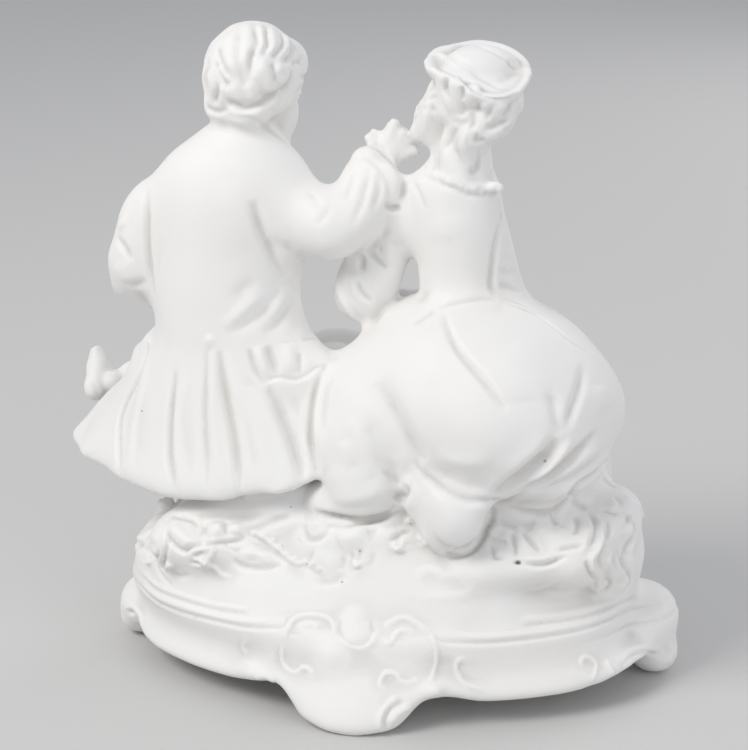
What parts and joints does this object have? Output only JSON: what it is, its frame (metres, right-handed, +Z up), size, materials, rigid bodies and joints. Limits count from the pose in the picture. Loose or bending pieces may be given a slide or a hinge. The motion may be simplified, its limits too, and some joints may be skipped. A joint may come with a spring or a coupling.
{
  "type": "porcelain figure group",
  "caption": "Matt white porcelain group of a seated gentleman and lady on a rocky mound, cast in one with a scrolled oval plinth on low feet.",
  "frame": {"origin": "middle of the group's bounding box, on the plane that the feet stand on", "axes": "+Z up; +Y the way the two figures face, so the pictured backs are on the -Y side; +X towards the lady"},
  "size_m": [0.1582, 0.0982, 0.158],
  "materials": {
    "bisque": "matt unglazed white porcelain"
  },
  "bodies": {
    "root": {"figure_group": "bisque"}
  },
  "joints": []
}
